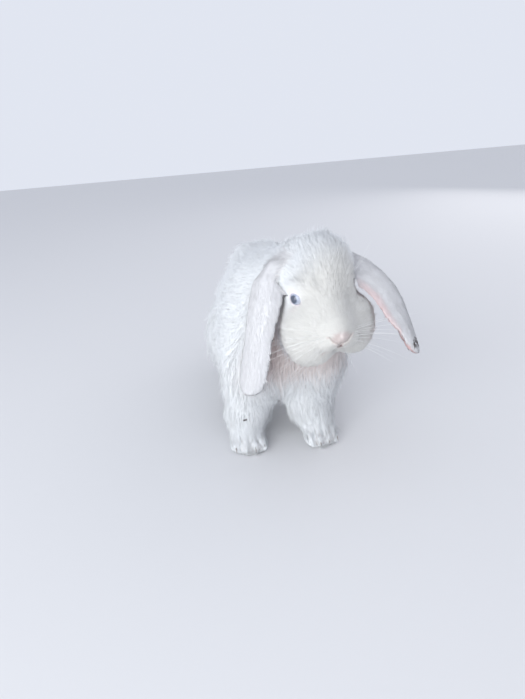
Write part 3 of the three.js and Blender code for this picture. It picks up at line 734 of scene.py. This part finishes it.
root = at_roots(at)
root_uv = np.einsum("ij,ijk->ik", root_weights, uv_of_triangle[picked])
root_normal = unit(at_roots(normal))
root_kind = kind[root_corners[:, 0]]
shaggy = 1 + 1.6 * at_roots(chest + crown) + 2.4 * (root_kind == "foreleg")
stray = rng.random(total) < STRAY_SHARE * shaggy * ramp(at_roots(depth), 0.001, 0.004)
toe = np.isin(root_kind, ["forefoot", "hindfoot"]) * ramp(-root_normal[:, 1], 0.1, 0.6)
reach = at_roots(length) * np.exp(rng.normal(0, 0.20, total)) * np.where(stray, 1.15, 1)
reach *= 1 + 0.3 * toe
thick = at_roots(width) * np.exp(rng.normal(0, 0.22, total)) * np.where(stray, 0.6, 1)
bend = rng.normal(0, 0.20, total)
way = turned(unit(at_roots(lie)), root_normal, bend)
middle, corners, weights = settle(root + way * (reach * 0.5)[:, None])
middle_normal = unit(mixed(normal, corners, weights))
middle_depth = mixed(depth * fluff, corners, weights)
way = turned(unit(mixed(lie, corners, weights)), middle_normal, bend * 0.6 + rng.normal(0, 0.14, total))
loose = middle + way * (reach * 0.5)[:, None]
tip, corners, weights = settle(loose)
tip_normal = unit(mixed(normal, corners, weights))
ragged = np.array([RAGGED[k] for k in root_kind])
rise = np.clip(0.86 + ragged * rng.normal(0, 1, total), 0.3, 1.3)
rise = rise + np.where(stray, rng.random(total) * 0.9, 0)
freed = 0.12 + 0.35 * stray + 0.75 * toe + at_roots(0.5 * ear_rim + 0.5 * fringe)
freed = np.clip(freed, 0, 1)
tip = tip + freed[:, None] * (loose - tip)
claw_fur = 1 - ramp(at_roots(near_claw), 0.0055, 0.0110)
middle = middle + middle_normal * (middle_depth * 0.62 * rise)[:, None]
tip = tip + tip_normal * (mixed(depth * fluff, corners, weights) * rise)[:, None]
tip = tip + claw_fur[:, None] * CLAW_FUR_TIP
middle = middle + claw_fur[:, None] * CLAW_FUR_MIDDLE
tip[:, 2] = np.maximum(tip[:, 2], TIP_LOWEST)
middle[:, 2] = np.maximum(middle[:, 2], MIDDLE_LOWEST)

tuft_tone = at_roots(tone) * np.exp(rng.normal(0, 0.025, total))[:, None]
speck = np.argsort(np.linalg.norm(tip - SPECK_AT, axis=1))[:SPECK_HAIRS]
tuft_tone[speck] = DARK_TUFT_TONE
tip[speck] = SPECK_AT + np.outer(np.linspace(-1, 1, SPECK_HAIRS), [SPECK_HALF, 0.0004, 0])
root[speck] = tip[speck] + [0.0003, 0.0012, 0.0013]
middle[speck] = tip[speck] + [0.0002, 0.0002, 0.0008]
# At the outer edge of the left ear's tip, most tufts are coloured dark.
root_run = at_roots(ear_run)
ear_tip_mark = (nearest[root_corners[:, 0]] == "ear_left") & (root_run > EAR_MARK_RUN)
ear_tip_mark = ear_tip_mark & (tip[:, 0] > EAR_MARK_X) & (np.abs(tip[:, 2] - EAR_MARK_Z) < EAR_MARK_HALF)
tuft_tone[ear_tip_mark & (rng.random(total) < 0.75)] = DARK_TUFT_TONE

TUFT_FACES = np.array([[0, 2, 1], [0, 1, 4], [0, 4, 3], [1, 2, 5], [1, 5, 4], [2, 0, 3], [2, 3, 5],
                       [3, 4, 6], [4, 5, 6], [5, 3, 6]])
PATCH = np.array([[math.cos(k * 2 * math.pi / 3) * size, math.sin(k * 2 * math.pi / 3) * size]
                  for size in (0.0015, 0.0009) for k in range(3)] + [[0, 0]])
# Painted shade deep in the coat: each tuft is darker at its root and a little at its middle.
ROOT_SHADE, MIDDLE_SHADE = 0.95, 0.99
fur_material = white_fur("white fur", 0.75, False)


def coat_piece(name, mine):
    """One piece of the coat: bent three-sided tufts, rooted in the skin and drawn to a point."""
    count = len(mine)
    low, bent, end = root[mine] - root_normal[mine] * ROOT_SINK, middle[mine], tip[mine]
    first, second = unit(bent - low), unit(end - bent)
    across = unit(np.cross(first, root_normal[mine]))
    roll = rng.random(count) * 2 * np.pi
    points, shade, colours = [], [], []
    for centre, along, size, skin_normal, darker in (
            (low, first, 0.38, root_normal[mine], ROOT_SHADE),
            (bent, unit(first + second), 0.50, middle_normal[mine], MIDDLE_SHADE)):
        over = np.cross(along, across)
        for ring in range(3):
            angle = roll + ring * 2 * np.pi / 3
            out = np.cos(angle)[:, None] * across + np.sin(angle)[:, None] * over
            points.append(centre + out * (thick[mine] * size)[:, None])
            shade.append(unit(skin_normal + 0.32 * out))
            colours.append(tuft_tone[mine] * darker)
    points.append(end)
    shade.append(unit(tip_normal[mine] + 0.2 * second))
    colours.append(tuft_tone[mine])
    points, shade, colours = (np.stack(rows, axis=1).reshape(-1, 3) for rows in (points, shade, colours))
    faces = (TUFT_FACES[None] + len(PATCH) * np.arange(count)[:, None, None]).reshape(-1, 3)
    data = bpy.data.meshes.new(name)
    data.vertices.add(len(points))
    data.vertices.foreach_set("co", points.ravel())
    data.loops.add(faces.size)
    data.loops.foreach_set("vertex_index", faces.ravel())
    data.polygons.add(len(faces))
    data.polygons.foreach_set("loop_start", np.arange(0, faces.size, 3))
    data.polygons.foreach_set("use_smooth", np.ones(len(faces), bool))
    data.update(calc_edges=True)
    spots = (root_uv[mine][:, None] + PATCH[None]).reshape(-1, 2)
    data.uv_layers.new(name="OFBake").data.foreach_set("uv", spots[faces.ravel()].ravel())
    data.normals_split_custom_set_from_vertices(shade)
    ready(data, colours)
    data.materials.append(fur_material)
    piece = bpy.data.objects.new(name, data)
    scene.collection.objects.link(piece)
    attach(piece, "root")


tail_first = np.argsort(-root[:, 1])
for group in (["head"], ["ear"], ["neck"], ["trunk"], ["tail", "hindfoot"], ["thigh"], ["foreleg"],
              ["forefoot"]):
    members = tail_first[np.isin(root_kind[tail_first], group)]
    for number, mine in enumerate(np.array_split(members, math.ceil(len(members) / PIECE_TUFTS))):
        coat_piece("coat_%s_%d" % (group[0], number + 1), mine)

# ---------------------------------------------------------------- whiskers
# Long stiff white hairs in four rows on each whisker pad, with a few over the eyes and under the chin.
# Each is round, thins to nothing and droops a little.
WHISKER_RADIUS = 0.00015
WHISKER_STEPS = 12
WHISKER_SIDES = 5
whisker_rows = []
for side in SIDES.values():
    for row, (height, count) in enumerate(((-0.0215, 3), (-0.0250, 4), (-0.0285, 4), (-0.0320, 3))):
        for place_in_row in range(count):
            from_place = (side * (0.0125 + 0.0018 * place_in_row), -0.0440 + 0.0038 * place_in_row, height)
            out = (side * (0.9 + 0.1 * rng.random()), -0.30 + 0.26 * place_in_row + 0.1 * rng.normal(),
                   0.18 - 0.22 * row + 0.08 * rng.normal())
            long = (0.050 + 0.022 * rng.random()) * (0.8 + 0.1 * place_in_row)
            whisker_rows.append((from_place, out, long, 0.25))
    for lift in range(2):
        whisker_rows.append(((side * (0.020 + 0.004 * lift), -0.002 + 0.003 * lift, 0.016),
                             (side * 0.75, -0.10 + 0.2 * lift, 0.75), 0.026 + 0.006 * lift, -0.3))
    whisker_rows.append(((side * 0.010, -0.026, -0.044), (side * 0.4, -0.35, -0.9), 0.030, 0.2))


def tube_sides(base, steps, sides):
    """The faces between the rings of a tube whose first point has the number base."""
    for step in range(steps):
        for corner in range(sides):
            a = base + step * sides + corner
            b = base + step * sides + (corner + 1) % sides
            yield a, a + sides, b + sides, b


def smooth_mesh(name, points, faces):
    """A smooth mesh with its faces turned outwards."""
    data = bpy.data.meshes.new(name)
    data.from_pydata([tuple(p) for p in points], [], faces)
    shell = bmesh.new()
    shell.from_mesh(data)
    bmesh.ops.recalc_face_normals(shell, faces=shell.faces)
    for face in shell.faces:
        face.smooth = True
    shell.to_mesh(data)
    shell.free()
    return data


def plain_material(name, colour, roughness):
    material = bpy.data.materials.new(name)
    material.use_nodes = True
    shader = material.node_tree.nodes["Principled BSDF"]
    shader.inputs["Base Color"].default_value = colour
    shader.inputs["Roughness"].default_value = roughness
    return material


def whisker_mesh():
    points, faces = [], []
    for from_place, out, long, droop in whisker_rows:
        start = np.array(on_head(*from_place))
        start = np.array(tree.find_nearest(Vector(start))[0])
        out = unit(head_turn @ unit(out))
        side_on = unit(np.cross(out, [0, 0, 1]))
        over = np.cross(side_on, out)
        base = len(points)
        for step in range(WHISKER_STEPS + 1):
            t = step / WHISKER_STEPS
            centre = start + out * long * (t - 0.02) - np.array([0, 0, 1]) * droop * long * t * t * 0.6
            size = WHISKER_RADIUS * (1 - 0.85 * t)
            for corner in range(WHISKER_SIDES):
                angle = 2 * math.pi * corner / WHISKER_SIDES
                points.append(centre + (side_on * math.cos(angle) + over * math.sin(angle)) * size)
        faces += tube_sides(base, WHISKER_STEPS, WHISKER_SIDES)
        faces.append(tuple(base + corner for corner in range(WHISKER_SIDES)))
        last = base + WHISKER_STEPS * WHISKER_SIDES
        faces.append(tuple(last + corner for corner in reversed(range(WHISKER_SIDES))))
    return smooth_mesh("whiskers", points, faces)


whisker_data = whisker_mesh()
whisker_data.materials.append(plain_material("whisker", (0.82, 0.82, 0.81, 1), 0.35))
whiskers = bpy.data.objects.new("whiskers", whisker_data)
scene.collection.objects.link(whiskers)
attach(whiskers, "root")

# ---------------------------------------------------------------- claws
# Four short curved horn claws on each foot, each rooted in the end of its toe and mostly hidden in the fur.
# They are dull grey-brown horn, round in section and thinner towards the tip.
CLAW_RINGS, CLAW_SIDES = 6, 8
CLAW_WIDE = 0.00085
CLAW_ROOT, CLAW_TIP = (0, 0.0032, 0.0014), (0, -0.0016, -0.0016)


def claw_mesh():
    points, faces = [], []
    for name in CLAWS:
        root_at = middle_of(name) + Vector(CLAW_ROOT)
        tip_at = middle_of(name) + Vector(CLAW_TIP)
        base = len(points)
        for ring in range(CLAW_RINGS):
            t = ring / (CLAW_RINGS - 1)
            centre = root_at.lerp(tip_at, t) + Vector((0, 0, 0.0010 * math.sin(math.pi * t)))
            size = CLAW_WIDE * math.sqrt(1 - 0.94 * t)
            for corner in range(CLAW_SIDES):
                angle = 2 * math.pi * corner / CLAW_SIDES
                points.append(centre + Vector((0.8 * size * math.cos(angle), 0, size * math.sin(angle))))
        faces += tube_sides(base, CLAW_RINGS - 1, CLAW_SIDES)
        for ring in (0, CLAW_RINGS - 1):
            faces.append(tuple(base + ring * CLAW_SIDES + corner for corner in range(CLAW_SIDES)))
    return smooth_mesh("claws", points, faces)


claw_data = claw_mesh()
claw_data.materials.append(plain_material("horn", (0.38, 0.33, 0.31, 1), 0.4))
claws_made = bpy.data.objects.new("claws", claw_data)
scene.collection.objects.link(claws_made)
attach(claws_made, "root")
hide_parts(*CLAWS)

# ---------------------------------------------------------------- studio
# A plain pale floor under a pale sky. Soft light comes low from ahead and the rabbit's right, as from a wide
# window, and a weaker one from behind on its left.
# The camera stands low and close ahead of the rabbit and to its right, looks down and leans a little.
FLOOR_TONE = (0.70, 0.70, 0.71, 1)
SKY_TONE = (0.86, 0.90, 1.0, 1)
SKY_STRENGTH = 0.88
# The power, size, place and tint of each light.
LIGHTS = [("window", 20.0, 1.3, (-1.00, -1.20, 0.50), (0.98, 1.0, 1.0)),
          ("fill", 6.0, 1.6, (1.3, 0.9, 0.9), (1.0, 0.98, 0.97))]
LIT_PLACE = Vector((0, -0.05, 0.12))
CAMERA_AT = Vector((-0.1248, -0.5887, 0.325))
CAMERA_AZIMUTH = math.radians(9)
CAMERA_DOWN = math.radians(23.2)
CAMERA_LEAN = math.radians(4.42)
FRAME_HEIGHT = 699
FOCAL_PIXELS = 520
SENSOR = 36

sheet = bmesh.new()
bmesh.ops.create_grid(sheet, x_segments=1, y_segments=1, size=4)
data = bpy.data.meshes.new("floor")
sheet.to_mesh(data)
sheet.free()
floor = bpy.data.objects.new("floor", data)
scene.collection.objects.link(floor)
data.materials.append(plain_material("pale floor", FLOOR_TONE, 0.7))

for name, energy, size, at_place, tint in LIGHTS:
    light = bpy.data.objects.new(name, bpy.data.lights.new(name, "AREA"))
    light.data.energy = energy
    light.data.size = size
    light.data.color = tint
    light.location = at_place
    light.rotation_euler = (LIT_PLACE - light.location).to_track_quat("-Z", "Y").to_euler()
    scene.collection.objects.link(light)
world = bpy.data.worlds.new("studio")
world.use_nodes = True
world.node_tree.nodes["Background"].inputs["Color"].default_value = SKY_TONE
world.node_tree.nodes["Background"].inputs["Strength"].default_value = SKY_STRENGTH
scene.world = world
scene.view_settings.view_transform = "Standard"

ahead = Vector((math.sin(CAMERA_AZIMUTH) * math.cos(CAMERA_DOWN),
                math.cos(CAMERA_AZIMUTH) * math.cos(CAMERA_DOWN), -math.sin(CAMERA_DOWN)))
level = Vector((math.cos(CAMERA_AZIMUTH), -math.sin(CAMERA_AZIMUTH), 0))
lean = Matrix.Rotation(CAMERA_LEAN, 3, ahead)
camera = bpy.data.objects.new("camera", bpy.data.cameras.new("camera"))
axes = Matrix((lean @ level, lean @ level.cross(ahead), -ahead)).transposed()
camera.matrix_world = Matrix.Translation(CAMERA_AT) @ axes.to_4x4()
camera.data.sensor_width = SENSOR
camera.data.lens = FOCAL_PIXELS / FRAME_HEIGHT * SENSOR
camera.data.clip_start = 0.02
scene.collection.objects.link(camera)
scene.camera = camera
